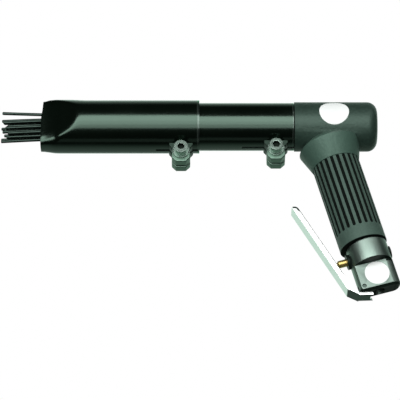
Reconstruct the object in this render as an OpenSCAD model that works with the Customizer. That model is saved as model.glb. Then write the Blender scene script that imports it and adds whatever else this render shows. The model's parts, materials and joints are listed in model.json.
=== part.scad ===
// Air needle scaler with a pistol grip, a telescoping nose tube and a set of nineteen needles.
// Millimetres, +Z up, nose towards -X. The origin is the centre of the air inlet mouth.

/* [Handle] */
// Lean of the handle from square to the barrel, in degrees
handle_lean = 15.4; // [12:0.2:20]
// Barrel axis to the top of the grip, along the handle
neck_drop = 44; // [41:0.5:48]
// Diameter of the handle core under the grip sleeve
core_d = 30; // [28:0.5:33]
// Diameter of the air duct in the handle
duct_d = 10; // [8:0.5:12]
// Largest radius of the neck below the head
neck_r = 29.8; // [28:0.1:31]
// Height of the cone of the neck
neck_height = 19.7; // [17:0.1:22]
// Radius of the domed shoulder of the neck
neck_dome_r = 41; // [38:0.5:46]
// Step of the neck over the grip
neck_step = 0.4; // [0.2:0.1:1]

/* [Grip sleeve] */
// Outside diameter of the grip sleeve
grip_d = 44.8; // [42:0.1:46]
// Length of the grip sleeve
grip_length = 88.5; // [80:0.5:96]
// Gap between the throttle body and the grip sleeve
grip_gap = 1; // [0.5:0.1:2]
// Height of the plain band below the ribs
band_height = 13; // [10:0.5:16]
// Number of ribs round the grip
rib_count = 24; // [16:1:28]
// Width of the groove between two ribs
groove_d = 3.2; // [2:0.1:3.4]
// Depth of the groove between two ribs
groove_depth = 2.2; // [1:0.1:2.4]

/* [Head] */
// Diameter of the head
head_d = 47; // [45:0.5:50]
// Handle axis to the front face of the head, along the barrel
head_front = 27.1; // [25:0.1:32]
// Handle axis to the rear face of the head, along the barrel
head_rear = 51.3; // [48:0.1:56]
// Rounding of the rear edge of the head
head_round = 9.5; // [5:0.5:11]
// Thickness of the rear wall of the head
head_end_wall = 14.3; // [10:0.1:18]

/* [Tubes] */
// Outside diameter of the rear tube
rear_tube_d = 45.4; // [44:0.1:46.4]
// Wall of the rear tube
rear_tube_wall = 2; // [1.5:0.1:2.5]
// Length of the rear tube
rear_tube_length = 144; // [135:1:150]
// Gap between the head and the rear tube
rear_tube_gap = 0.5; // [0.3:0.1:1]
// Length of the rear tube that shows behind the front tube
rear_tube_shown = 90; // [84:1:98]
// Wall of the front tube
front_tube_wall = 2.5; // [2:0.1:3]
// Length of the front tube
front_tube_length = 150; // [145:1:158]
// Length of the flattened nose
nose_length = 35; // [30:1:40]
// Half thickness of the nose at its mouth
nose_half = 11.8; // [11.4:0.1:14]
// Slope of the nose flats at the mouth, in degrees
nose_angle = 11; // [8:0.5:14]

/* [Clamps] */
// Diameter of the clamp screws
screw_d = 8; // [6:0.5:8]
// Tube surface to the clamp screw axis
screw_offset = 6.4; // [6:0.1:8]
// Tube rear end to the clamp screw axis
clamp_set = 17.3; // [14:0.1:20]
// Width of the slit in each tube
slit_w = 3; // [2:0.1:4]
// Length of the slit in the front tube
front_slit = 41; // [34:1:46]
// Length of the slit in the rear tube
rear_slit = 49; // [40:1:54]
// Thickness of one clamp ear, across the tool
ear_t = 8.5; // [7:0.1:10]
// Width of a clamp ear, along the tube
ear_w = 17.4; // [16:0.1:20]
// Width of a clamp ear where it is welded to the tube
ear_root_w = 23; // [20:0.5:26]
// Clamp screw axis to the lower face of the ear
ear_margin = 11; // [8:0.1:12]
// Chamfer of the lower corners of an ear
ear_chamfer = 4.1; // [2:0.1:5]
// Thickness of the clamp washers
washer_t = 1.6; // [1:0.1:2.5]

/* [Cylinder and piston] */
// Diameter of the piston bore
bore_d = 25; // [22:0.5:26]
// Handle axis to the rear end of the cylinder, along the barrel
cylinder_rear = 20; // [18:0.5:22]
// Length of the piston bore
bore_length = 106; // [104:1:112]
// Length of the cylinder in front of the piston bore
guide_length = 85; // [82:0.5:88]
// Diameter of the needle holder guide in the cylinder
guide_d = 35.4; // [34.5:0.1:36]
// Diameter of the screwed rear end of the cylinder
cylinder_screw_d = 37; // [36:0.5:38]
// Length of the piston
piston_length = 45; // [40:1:46]
// Room behind the piston at rest
piston_set = 4; // [2:0.5:6]
// Running clearance of sliding pieces, on the radius
slide_fit = 0.08; // [0.05:0.01:0.1]

/* [Needle set] */
// Diameter of a needle
needle_d = 3; // [2:0.1:3]
// Length of a needle
needle_length = 180; // [170:1:190]
// Pitch of the needles in the holder
needle_pitch = 5; // [4.6:0.1:5]
// Spread of the needle tips along the barrel
needle_stagger = 7; // [0:0.5:10]
// Length of the needle holder
holder_length = 52; // [50:0.5:54]
// Wall of the needle holder
holder_wall = 2.9; // [2:0.1:3.2]
// Thickness of the needle plate at the front of the holder
plate_t = 10; // [8:0.5:12]
// Diameter of the anvil shank
anvil_shank_d = 22; // [18:0.5:22]
// Length of the anvil shank
anvil_shank_length = 12; // [8:0.5:14]
// Wire of the return spring
return_wire = 2.6; // [2:0.1:2.8]
// Turns of the return spring
return_turns = 5; // [4:0.5:5]

/* [Throttle] */
// Length of the throttle body below the handle
base_length = 47; // [46:0.5:52]
// Diameter of the throttle body
base_d = 39; // [37:0.5:40]
// Rearward set of the throttle body from the handle axis
base_shift = 1.8; // [0:0.1:2]
// Thickness across the two flats of the throttle body, as a share of its diameter
flat_share = 0.46; // [0.44:0.01:0.56]
// Height of the flats
flat_height = 26.5; // [25:0.5:28]
// Diameter of the inlet thread, at its crests
inlet_d = 11.8; // [10:0.1:12.5]
// Depth of the inlet thread
inlet_depth = 14; // [12:0.5:15]
// Top of the throttle body to the axis of the throttle valve
valve_drop = 11; // [9:0.5:12]
// Diameter of the valve chamber
chamber_d = 11; // [9:0.5:12]
// Diameter of the throttle button
button_d = 7; // [5:0.5:7.5]
// Length of the button outside the bush
button_out = 9.4; // [8:0.1:11]
// Diameter of the flange of the button bush
bush_flange_d = 14; // [12:0.5:15]
// Thickness of the flange of the button bush
bush_flange_t = 2.2; // [1.5:0.1:3]
// Wire of the valve spring
valve_wire = 0.7; // [0.5:0.1:0.8]
// Turns of the valve spring
valve_turns = 4; // [3:0.5:4]

/* [Lever] */
// Lean of the lever from the handle axis, in degrees
lever_lean = 15.1; // [13:0.1:17]
// Length of the lever arm
lever_length = 95; // [80:1:100]
// Width of the lever arm
lever_w = 16; // [14:0.5:18]
// Width of the lever foot
foot_w = 13; // [11:0.5:14]
// Sheet thickness of the lever
lever_sheet = 1.6; // [1.2:0.1:2]
// Depth of the lever channel
lever_depth = 4.9; // [4:0.1:6]
// Handle axis to the heel of the lever
lever_out = 28.5; // [27:0.5:32]
// Thickness of the lever tongue that hangs on the pin
tongue_t = 5; // [3:0.5:6]
// Diameter of the lever pin
lever_pin_d = 4; // [3:0.5:4]
// Wall of the throttle body in front of the lever pin
pin_wall = 0.7; // [0.5:0.1:1.2]
// Inlet mouth to the lever pin, along the handle
lever_pin_height = 5; // [4.5:0.1:6]

/* [Hidden] */
$fn = 64;

// Shared clearances
cut = 1;
fixed_fit = 0.05;
seat_gap = 0.3;

// Handle stations, measured up from the inlet mouth
handle_length = base_length + grip_gap + grip_length + neck_drop;
grip_bottom = base_length + grip_gap;
grip_top = grip_bottom + grip_length;
neck_bottom = grip_top + seat_gap;
neck_wide = neck_bottom + neck_height;
neck_dome_centre = neck_wide - sqrt(neck_dome_r * neck_dome_r - neck_r * neck_r);

// Barrel frame: its axis crosses the handle axis here
cross_x = -handle_length * sin(handle_lean);
barrel_z = handle_length * cos(handle_lean);

// Barrel stations, measured forward from the handle axis
cavity_end = -(head_rear - head_end_wall);
rear_tube_rear = head_front + rear_tube_gap;
rear_tube_front = rear_tube_rear + rear_tube_length;
front_tube_rear = head_front + rear_tube_shown;
front_tube_front = front_tube_rear + front_tube_length;
guide_rear = bore_length - cylinder_rear;
cylinder_front = guide_rear + guide_length;
holder_rear = guide_rear + seat_gap;
holder_front = holder_rear + holder_length;
plate_rear = holder_front - plate_t;

// Tube radii
rear_r = rear_tube_d / 2;
rear_bore_r = rear_r - rear_tube_wall;
front_bore_r = rear_r + slide_fit;
front_r = front_bore_r + front_tube_wall;
rear_screw_drop = rear_r + screw_offset;
front_screw_drop = front_r + screw_offset;

// Die of the nose: an arc from the mouth to the full width of the tube
nose_rise = front_r - nose_half;
nose_die_r = norm([nose_length, nose_rise])
    / (2 * sin(atan2(nose_rise, nose_length) - nose_angle));

// Clamp screws, nuts and washers follow the screw diameter
head_share = 1.625;
key_share = 0.75;
nut_share = 0.81;
washer_share = 2;
screw_head_d = head_share * screw_d;
screw_key = key_share * screw_d;
nut_key = head_share * screw_d;
nut_t = nut_share * screw_d;
washer_d = washer_share * screw_d;
ear_sunk = 0.8;
screw_hole_fit = 0.2;
screw_tip = 1.5;

// Cylinder
cylinder_r = rear_bore_r - fixed_fit;
relief_depth = 1.45;
land_length = 24;
front_land_set = 22;
front_land_length = 34;
annulus_depth = 2.3;
annulus_length = 23;
port_d = 4;
port_count = 6;
flute_d = 5;

// Distributor stack behind the cylinder
stack_r = cylinder_screw_d / 2 - annulus_depth;
seat_plate_t = 6;
valve_disc_d = 18;
valve_disc_t = 1.5;
valve_lift = 1.2;
valve_port_d = 3;
valve_port_ring = 5;

// Needle set
needle_shoulder = 0.7;
needle_head_d = needle_d + 2 * needle_shoulder;
needle_head_t = 3;
needle_hole_fit = 0.4;
needle_squeeze = 0.3;
needle_spread = 0.4;
holder_r = guide_d / 2 - slide_fit;
holder_bore_r = holder_r - holder_wall;
needle_seat = 0.1;
tip_turn = 137;
needle_rear = plate_rear - needle_head_t - needle_seat;
anvil_front = needle_rear - seat_gap;
anvil_rear = holder_rear;
spring_seat_t = 6;
spring_seat_bore = 26;
spring_room = cylinder_front - spring_seat_t - holder_front;
return_gap = 0.8;
return_mean_r = guide_d / 2 - return_wire / 2 - return_gap;

// Throttle body
base_r = base_d / 2;
flat_half = flat_share * base_r;
flat_front = sqrt(base_r * base_r - flat_half * flat_half) - base_shift;
valve_height = base_length - valve_drop;
rim_edge = 1;
spigot_d = 20;
spigot_length = 17;
seal_d = 2;
seal_groove_d = 2.1;
seal_section = 1.48;
seal_sunk = 1.5;
seal_set = 1.44;
foot_chamfer = 2;
foot_round = 4;
step_slope = 0.06;
passage_d = 4.8;
passage_x = 3.4;
outlet_d = 4.2;
outlet_x = -6;
seat_x = -1.5;
seat_t = 1.7;
seat_bore = 5.6;
bush_shoulder = 1;
bush_bore_d = chamber_d - bush_shoulder;
bush_inner_x = -10;
badge_d = 23.2;
badge_recess = 0.3;
badge_x = 2.4;
badge_height = 14.8;
strainer_t = 1.4;
strainer_step = 1.6;
strainer_hole = 1.5;

// Throttle valve along its own axis, rear positive
base_rear = base_r + base_shift;
bush_face_x = base_shift - base_r - bush_flange_t;
button_tip_x = bush_face_x - button_out;
nose_d = 3.6;
button_step = 1.5;
button_inner_x = bush_inner_x - button_step;
button_dome = 1.75;
stem_d = 3.4;
button_groove_d = 1.2;
button_seal_d = 1;
poppet_gap = 0.8;
poppet_r = chamber_d / 2 - poppet_gap;
poppet_t = 2.6;
poppet_spigot_d = 4.4;
poppet_spigot_t = 1.6;
plug_inner_x = 9.5;
plug_flange_t = 1;
plug_flange_d = 11.5;
plug_key = 5;
valve_spring_rear = plug_inner_x;
valve_spring_front = seat_x + poppet_t;
valve_spring_gap = 0.5;
valve_mean_r = poppet_spigot_d / 2 + valve_wire / 2 + valve_spring_gap;

// Lever, in the frame of its pin: x rearward, y up along the handle
lever_gap = 0.3;
lever_pin_out = flat_front - lever_pin_d / 2 - pin_wall;
pin_recess = 0.8;
tongue_r = 3.4;
tongue_fit = 0.25;
tongue_room = 0.4;
heel_rise = 1.3;
heel_gusset = 5;
foot_t = 2.6;
foot_rise = 1.2;
foot_share = 0.45;
foot_slope = 0.24;
foot_clear_r = 9.5;
lever_tip_r = 4.5;
arm_dir = [-sin(lever_lean), cos(lever_lean)];
arm_in = [cos(lever_lean), sin(lever_lean)];
heel = [lever_pin_out - lever_out, heel_rise];
arm_tip = heel + arm_dir * lever_length / cos(lever_lean);
foot_front = [-foot_share * (lever_out - lever_pin_out), foot_rise - lever_pin_height];
foot_rear = [lever_pin_out, foot_front[1] - foot_slope * (lever_pin_out - foot_front[0])];
foot_down = [0, -foot_t];
contact_height = valve_height - lever_pin_height;
contact_x = heel[0] - (contact_height - heel_rise) * tan(lever_lean) + lever_sheet / cos(lever_lean);
button_nose_x = contact_x - lever_pin_out + (nose_d / 2 + lever_gap) / cos(lever_lean);

// Frame of the barrel: z runs forward along the barrel, x points up
module barrel_frame(station = 0) {
    translate([cross_x, 0, barrel_z])
        rotate([0, -90, 0])
            translate([0, 0, station])
                children();
}

// Frame of the handle: z runs up along the handle from the inlet mouth, x points rearward
module handle_frame(height = 0) {
    rotate([0, -handle_lean, 0])
        translate([0, 0, height])
            children();
}

// Frame of the throttle valve: z runs rearward across the handle
module valve_frame(x = 0) {
    handle_frame(valve_height)
        translate([x, 0, 0])
            rotate([0, 90, 0])
                children();
}

module ring(outer_r, inner_r, height) {
    difference() {
        cylinder(r = outer_r, h = height);
        translate([0, 0, -cut])
            cylinder(r = inner_r, h = height + 2 * cut);
    }
}

module hex_prism(key, height) {
    cylinder(d = key / cos(30), h = height, $fn = 6);
}

module seal_ring(inner_r, section_d) {
    rotate_extrude()
        translate([inner_r + section_d / 2, 0])
            circle(d = section_d, $fn = 32);
}

// One wound spring: a six sided tube swept along a helix, standing on z = 0
curl_rings = 8;
wire_sides = 6;
function coil_centre(i, rings, mean_r, wire_d, length) =
    let (a = 360 / curl_rings * i)
    [mean_r * cos(a), mean_r * sin(a), wire_d / 2 + (length - wire_d) * i / rings];
function coil_point(i, k, rings, mean_r, wire_d, length) =
    let (
        a = 360 / curl_rings * i,
        b = 360 / wire_sides * k,
        c = coil_centre(i, rings, mean_r, wire_d, length))
    c + wire_d / 2 * [cos(b) * cos(a), cos(b) * sin(a), sin(b)];
function coil_gap(turns, mean_r, wire_d, length) =
    let (rings = curl_rings * turns)
    min([for (i = [0 : rings - curl_rings])
        norm(coil_centre(i + curl_rings, rings, mean_r, wire_d, length)
            - coil_centre(i, rings, mean_r, wire_d, length))]) - wire_d;

module coil(turns, mean_r, wire_d, length) {
    rings = curl_rings * turns;
    n = wire_sides;
    points = [for (i = [0 : rings]) for (k = [0 : n - 1])
        coil_point(i, k, rings, mean_r, wire_d, length)];
    sides = [for (i = [0 : rings - 1]) for (k = [0 : n - 1])
        let (a = n * i + k, b = n * i + (k + 1) % n)
        each [[a, b, b + n], [a, b + n, a + n]]];
    first_cap = [for (k = [1 : n - 2]) [0, k + 1, k]];
    last_cap = [for (k = [1 : n - 2]) [n * rings, n * rings + k, n * rings + k + 1]];
    polyhedron(points = points, faces = concat(sides, first_cap, last_cap));
}

// Head, neck and handle core: one casting with the cylinder cavity, the air duct and the spigot socket
module handle_housing() {
    color("#39423e") difference() {
        union() {
            barrel_frame() head_form();
            handle_frame() neck_form();
            handle_frame(base_length)
                cylinder(d = core_d, h = neck_wide - base_length);
        }
        barrel_frame(cavity_end)
            cylinder(d = cylinder_screw_d + 2 * fixed_fit, h = head_front - cavity_end + cut);
        handle_frame(base_length - cut)
            cylinder(d = duct_d, h = neck_drop + grip_length - cylinder_screw_d / 4);
        handle_frame(base_length - cut)
            cylinder(d = spigot_d + 2 * fixed_fit, h = spigot_length + seat_gap + cut);
    }
}

module head_form() {
    rotate_extrude() {
        translate([0, head_round - head_rear])
            square([head_d / 2, head_front + head_rear - head_round]);
        translate([0, -head_rear])
            square([head_d / 2 - head_round, head_round + cut]);
        translate([head_d / 2 - head_round, head_round - head_rear])
            circle(r = head_round);
    }
}

// Cone that grows out of the grip and closes over in a dome inside the head
module neck_form() {
    intersection() {
        translate([0, 0, neck_bottom])
            cylinder(
                r1 = grip_d / 2 + neck_step,
                r2 = grip_d / 2 + neck_step + 2 * (neck_r - grip_d / 2 - neck_step),
                h = 2 * neck_height);
        translate([0, 0, neck_dome_centre])
            sphere(r = neck_dome_r);
        translate([0, 0, neck_bottom])
            cylinder(r = 2 * neck_r, h = neck_drop);
    }
}

// Moulded sleeve with long round bottomed grooves that leave a plain band at its foot
module grip_sleeve() {
    color("#333c38") handle_frame(grip_bottom) difference() {
        ring(grip_d / 2, core_d / 2 + fixed_fit, grip_length);
        for (i = [0 : rib_count - 1])
            rotate(360 * i / rib_count)
                translate([grip_d / 2 + groove_d / 2 - groove_depth, 0, band_height])
                    rib_groove();
    }
}

module rib_groove() {
    translate([0, 0, groove_d / 2])
        cylinder(d = groove_d, h = grip_length);
    translate([0, 0, groove_d / 2])
        sphere(d = groove_d);
}

// Round die that presses one side of the nose, for the outside or, moved in by the wall, for the inside
module nose_die(inset) {
    far = 2 * front_r;
    translate([
        cross_x - front_tube_front - nose_die_r * sin(nose_angle),
        nose_half + nose_die_r * cos(nose_angle) - inset,
        barrel_z - far])
        cylinder(r = nose_die_r, h = 2 * far);
}

module tube_form(radius, inset) {
    difference() {
        barrel_frame(front_tube_rear - sign(inset) * cut)
            cylinder(r = radius, h = front_tube_length + 2 * sign(inset) * cut);
        for (side = [0, 1])
            mirror([0, side, 0])
                nose_die(inset);
    }
}

// Nose tube: slides on the rear tube, its mouth pressed flat, with a pair of clamp ears below
module front_tube() {
    color("#1d2421") difference() {
        union() {
            tube_form(front_r, 0);
            clamp_ears(front_tube_rear + clamp_set, front_r, front_screw_drop);
        }
        tube_form(front_bore_r, front_tube_wall);
        clamp_cuts(front_tube_rear, front_slit, front_screw_drop);
    }
}

// Rear tube: clamped on the cylinder in front of the head
module rear_tube() {
    color("#202824") difference() {
        union() {
            barrel_frame(rear_tube_rear)
                cylinder(r = rear_r, h = rear_tube_length);
            clamp_ears(rear_tube_rear + clamp_set, rear_r, rear_screw_drop);
        }
        barrel_frame(rear_tube_rear - cut)
            cylinder(r = rear_bore_r, h = rear_tube_length + 2 * cut);
        clamp_cuts(rear_tube_rear, rear_slit, rear_screw_drop);
    }
}

// Welded ears: flared at the tube, with chamfered lower corners
module clamp_ears(station, tube_r, screw_drop) {
    foot = screw_drop + ear_margin;
    flare = tube_r + screw_offset / 2;
    half = [
        [ear_root_w / 2, -tube_r * ear_sunk],
        [ear_root_w / 2, -tube_r],
        [ear_w / 2, -flare],
        [ear_w / 2, ear_chamfer - foot],
        [ear_w / 2 - ear_chamfer, -foot]];
    translate([cross_x - station, ear_t + slit_w / 2, barrel_z])
        rotate([90, 0, 0])
            linear_extrude(2 * ear_t + slit_w)
                polygon(concat(half, [for (i = [4 : -1 : 0]) [-half[i][0], half[i][1]]]));
}

module clamp_cuts(tube_rear, slit_length, screw_drop) {
    depth = screw_drop + 2 * ear_margin;
    translate([cross_x - tube_rear - slit_length, -slit_w / 2, barrel_z - depth])
        cube([slit_length + cut, slit_w, depth]);
    translate([cross_x - tube_rear - slit_length, 0, barrel_z - depth])
        cylinder(d = slit_w, h = depth);
    screw_frame(tube_rear + clamp_set, screw_drop)
        translate([0, 0, -2 * ear_t])
            cylinder(d = screw_d + 2 * screw_hole_fit, h = 4 * ear_t);
}

// Frame of a clamp screw: z runs across the tool, towards the nut
module screw_frame(station, screw_drop) {
    translate([cross_x - station, 0, barrel_z - screw_drop])
        rotate([-90, 0, 0])
            children();
}

module clamp_screw(station, screw_drop) {
    seat = -slit_w / 2 - ear_t - washer_t;
    color("#8b948f") screw_frame(station, screw_drop) difference() {
        union() {
            translate([0, 0, seat - screw_d])
                cylinder(d = screw_head_d, h = screw_d);
            translate([0, 0, seat - cut])
                cylinder(
                    d = screw_d - 2 * fixed_fit,
                    h = cut + washer_t + 2 * ear_t + slit_w + nut_t + screw_tip);
        }
        translate([0, 0, seat - screw_d - cut])
            hex_prism(screw_key, screw_d / 2 + cut);
    }
}

module clamp_washer(station, screw_drop) {
    color("#9aa39e") screw_frame(station, screw_drop)
        translate([0, 0, -slit_w / 2 - ear_t - washer_t])
            ring(washer_d / 2, screw_d / 2 + screw_hole_fit, washer_t);
}

module clamp_nut(station, screw_drop) {
    color("#8b948f") screw_frame(station, screw_drop)
        translate([0, 0, slit_w / 2 + ear_t]) difference() {
            hex_prism(nut_key, nut_t);
            translate([0, 0, -cut])
                cylinder(d = screw_d, h = nut_t + 2 * cut);
        }
}

module rear_clamp_screw() { clamp_screw(rear_tube_rear + clamp_set, rear_screw_drop); }
module rear_clamp_washer() { clamp_washer(rear_tube_rear + clamp_set, rear_screw_drop); }
module rear_clamp_nut() { clamp_nut(rear_tube_rear + clamp_set, rear_screw_drop); }
module front_clamp_screw() { clamp_screw(front_tube_rear + clamp_set, front_screw_drop); }
module front_clamp_washer() { clamp_washer(front_tube_rear + clamp_set, front_screw_drop); }
module front_clamp_nut() { clamp_nut(front_tube_rear + clamp_set, front_screw_drop); }

// Cylinder: screwed into the head, bored for the piston, counterbored to guide the needle holder
module cylinder_form() {
    screw_end = head_front + cylinder_rear;
    translate([0, 0, -cylinder_rear])
        cylinder(d = cylinder_screw_d, h = screw_end + cut);
    translate([0, 0, head_front])
        cylinder(r = cylinder_r - relief_depth, h = cylinder_front - head_front);
    translate([0, 0, head_front])
        cylinder(r = cylinder_r, h = land_length);
    translate([0, 0, cylinder_front - front_land_set - front_land_length])
        cylinder(r = cylinder_r, h = front_land_length);
}

module cylinder_node() {
    color("#a7aeab") barrel_frame() difference() {
        cylinder_form();
        translate([0, 0, -cylinder_rear - cut])
            cylinder(d = bore_d, h = bore_length + 2 * cut);
        translate([0, 0, guide_rear])
            cylinder(d = guide_d, h = guide_length + cut);
        translate([0, 0, -cylinder_rear - cut])
            ring(cylinder_screw_d, stack_r, annulus_length + cut);
        for (i = [0 : port_count - 1])
            rotate(360 * (i + 0.5) / port_count) {
                translate([0, 0, head_front + land_length + port_d])
                    rotate([0, 90, 0])
                        cylinder(d = port_d, h = 2 * cylinder_r);
                translate([cylinder_r, 0, cylinder_front - front_land_set - front_land_length - cut])
                    cylinder(d = flute_d, h = front_land_length + 2 * cut);
            }
    }
}

// Distributor: seat plate, loose disc and cap, pinched between the cylinder and the head
module valve_seat_plate() {
    color("#8f9794") barrel_frame(-cylinder_rear - seat_plate_t) difference() {
        cylinder(r = stack_r, h = seat_plate_t);
        translate([0, 0, -cut])
            cylinder(d = valve_port_d, h = seat_plate_t + 2 * cut);
        for (i = [0 : port_count - 1])
            rotate(360 * i / port_count)
                translate([valve_port_ring, 0, -cut])
                    cylinder(d = valve_port_d, h = seat_plate_t + 2 * cut);
    }
}

module valve_disc() {
    color("#c9cfcc") barrel_frame(-cylinder_rear - seat_plate_t - valve_disc_t - valve_lift)
        cylinder(d = valve_disc_d, h = valve_disc_t);
}

module valve_cap() {
    length = -cylinder_rear - seat_plate_t - cavity_end;
    pocket = valve_disc_t + valve_lift;
    color("#8f9794") barrel_frame(cavity_end) difference() {
        cylinder(r = stack_r, h = length);
        translate([0, 0, length - pocket])
            cylinder(d = valve_disc_d + 2 * slide_fit, h = pocket + cut);
        for (i = [0 : port_count - 1])
            rotate(360 * i / port_count)
                translate([0, 0, length - pocket - valve_port_d])
                    rotate([0, 90, 0])
                        cylinder(d = valve_port_d, h = 2 * stack_r);
        translate([0, 0, length - pocket - valve_port_d])
            cylinder(d = valve_port_d, h = pocket + valve_port_d);
    }
}

// Hammer piston with two oil grooves
module piston() {
    groove_w = 2;
    groove_deep = 0.8;
    color("#c3c9c6") barrel_frame(piston_set - cylinder_rear) difference() {
        cylinder(r = bore_d / 2 - slide_fit, h = piston_length);
        for (share = [1 / 3, 2 / 3])
            translate([0, 0, piston_length * share])
                ring(bore_d, bore_d / 2 - groove_deep, groove_w);
    }
}

// Anvil: takes the blow on its shank and passes it to the needle heads
module anvil() {
    color("#b4bbb8") barrel_frame(anvil_rear) {
        cylinder(r = holder_bore_r - slide_fit, h = anvil_front - anvil_rear);
        translate([0, 0, -anvil_shank_length])
            cylinder(d = anvil_shank_d, h = anvil_shank_length + cut);
    }
}

// Places of the needles: one in the middle and two hexagon rings round it
needle_places = concat(
    [[0, 0]],
    [for (i = [0 : 5]) needle_pitch * [cos(60 * i), sin(60 * i)]],
    [for (i = [0 : 5]) 2 * needle_pitch * [cos(60 * i), sin(60 * i)]],
    [for (i = [0 : 5]) sqrt(3) * needle_pitch * [cos(60 * i + 30), sin(60 * i + 30)]]);

module needle_holder() {
    color("#262d2a") barrel_frame(holder_rear) difference() {
        cylinder(r = holder_r, h = holder_length);
        translate([0, 0, -cut])
            cylinder(r = holder_bore_r, h = holder_length - plate_t + cut);
        for (place = needle_places)
            translate([place[0], place[1], holder_length - plate_t - cut])
                cylinder(d = needle_d + 2 * needle_hole_fit, h = plate_t + 2 * cut);
    }
}

// Nineteen headed needles, drawn together by the flat nose, with tips that end unevenly
module needles() {
    color("#2b3330") barrel_frame(needle_rear)
        for (i = [0 : len(needle_places) - 1])
            needle(needle_places[i], needle_stagger * (1 + sin(tip_turn * i)) / 2);
}

module needle(place, short) {
    reach = front_tube_front - plate_rear;
    lean = [place[0] * needle_spread, -place[1] * needle_squeeze] / reach;
    tilt = atan(norm(lean));
    turn = atan2(lean[1], lean[0]);
    translate([place[0], place[1], 0])
        rotate([0, tilt, turn]) {
            cylinder(d = needle_d, h = needle_length - short);
            cylinder(d = needle_head_d, h = needle_head_t);
        }
}

module return_spring() {
    length = spring_room - 2 * seat_gap;
    echo(return_spring_gap = coil_gap(return_turns, return_mean_r, return_wire, length));
    color("#9aa29f") barrel_frame(holder_front + seat_gap)
        coil(return_turns, return_mean_r, return_wire, length);
}

module spring_seat() {
    color("#8a928f") barrel_frame(cylinder_front - spring_seat_t)
        ring(guide_d / 2 - fixed_fit, spring_seat_bore / 2, spring_seat_t);
}

// Throttle body: inlet below, valve across, a flat on each side, a slot in front for the lever tongue
module throttle_body() {
    color("#98a39e") difference() {
        union() {
            handle_frame()
                translate([base_shift, 0, 0])
                    base_form();
            handle_frame(base_length - cut)
                cylinder(d = spigot_d, h = spigot_length + cut);
        }
        handle_frame(base_length + spigot_length / 2)
            seal_ring(spigot_d / 2 - seal_sunk, seal_groove_d);
        handle_frame(-cut)
            cylinder(d = inlet_d, h = inlet_depth + cut);
        handle_frame(inlet_depth - cut)
            cylinder(d = inlet_d - strainer_step, h = strainer_t + cut);
        handle_frame()
            translate([passage_x, 0, inlet_depth])
                cylinder(d = passage_d, h = valve_height - inlet_depth);
        handle_frame()
            translate([outlet_x, 0, valve_height])
                cylinder(d = outlet_d, h = base_length + spigot_length + cut - valve_height);
        valve_frame(seat_x)
            cylinder(d = chamber_d, h = base_d);
        valve_frame(seat_x - seat_t - cut)
            cylinder(d = seat_bore, h = seat_t + 2 * cut);
        valve_frame(-base_d)
            cylinder(d = bush_bore_d, h = base_d + seat_x - seat_t);
        pin_frame(-base_r)
            cylinder(d = lever_pin_d, h = base_d);
        pin_frame(-tongue_t / 2 - tongue_fit)
            tongue_slot();
        handle_frame()
            translate([badge_x, badge_recess - flat_half, badge_height])
                rotate([90, 0, 0])
                    cylinder(d = badge_d, h = base_r);
    }
}

module base_form() {
    difference() {
        rotate_extrude() {
            translate([0, foot_round])
                square([base_r, base_length - rim_edge - foot_round]);
            square([base_r - foot_round, base_length]);
            translate([base_r - foot_round, foot_round])
                circle(r = foot_round);
            translate([0, base_length - rim_edge])
                square([base_r - rim_edge, rim_edge]);
        }
        for (side = [0, 1])
            mirror([0, side, 0])
                translate([-base_d, 0, 0])
                    rotate([90, 0, 90])
                        linear_extrude(2 * base_d)
                            flat_profile();
    }
}

// Section of the material milled away beside a flat, with a chamfer at the foot
module flat_profile() {
    far = base_d;
    polygon([
        [flat_half - foot_chamfer - cut, -cut],
        [flat_half, foot_chamfer],
        [flat_half, flat_height],
        [far, flat_height + step_slope * (far - flat_half)],
        [far, -cut]]);
}

// Frame of the lever pin: z runs across the tool
module pin_frame(y) {
    handle_frame(lever_pin_height)
        translate([-lever_pin_out, y, 0])
            rotate([-90, 0, 0])
                children();
}

// Slot for the tongue, open to the front and below
module tongue_slot() {
    room = tongue_r + tongue_room;
    height = tongue_t + 2 * tongue_fit;
    cylinder(r = room, h = height);
    translate([-base_d, -room, 0])
        cube([base_d, 2 * room, height]);
    translate([-base_d, 0, 0])
        cube([base_d + room, base_d, height]);
}

module handle_seal() {
    color("#141816") handle_frame(base_length + spigot_length / 2)
        seal_ring(spigot_d / 2 - seal_set, seal_section);
}

module inlet_strainer() {
    color("#b9a46a") handle_frame(inlet_depth) difference() {
        cylinder(d = inlet_d - strainer_step - 2 * fixed_fit, h = strainer_t);
        for (i = [0 : port_count - 1])
            rotate(360 * i / port_count)
                translate([inlet_d / 4, 0, -cut])
                    cylinder(d = strainer_hole, h = strainer_t + 2 * cut);
    }
}

// Brass button: domed and nosed, guided in the bush, with a thin stem that reaches the valve
module throttle_button() {
    dome_r = (button_d * button_d / 4 + button_dome * button_dome) / (2 * button_dome);
    color("#b08d3c") valve_frame() {
        intersection() {
            translate([0, 0, button_tip_x])
                cylinder(d = button_d, h = button_inner_x - button_tip_x);
            translate([0, 0, button_tip_x + dome_r])
                union() {
                    sphere(r = dome_r);
                    cylinder(r = dome_r, h = base_d);
                }
        }
        translate([0, 0, button_inner_x - cut])
            cylinder(d = stem_d, h = seat_x - button_inner_x + cut);
        translate([0, 0, button_nose_x])
            cylinder(d = nose_d, h = button_tip_x - button_nose_x + button_dome);
        translate([0, 0, button_nose_x])
            sphere(d = nose_d);
    }
}

module button_bush() {
    color("#2c3431") valve_frame(bush_face_x) difference() {
        union() {
            cylinder(d = bush_bore_d - 2 * fixed_fit, h = bush_inner_x - bush_face_x);
            cylinder(d = bush_flange_d, h = bush_flange_t);
        }
        translate([0, 0, -cut])
            cylinder(d = button_d + 2 * slide_fit, h = base_r);
        translate([0, 0, bush_flange_t + seal_d])
            seal_ring(button_d / 2, button_groove_d);
    }
}

module button_seal() {
    color("#141816") valve_frame(bush_face_x + bush_flange_t + seal_d)
        seal_ring(button_d / 2 + slide_fit, button_seal_d);
}

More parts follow.
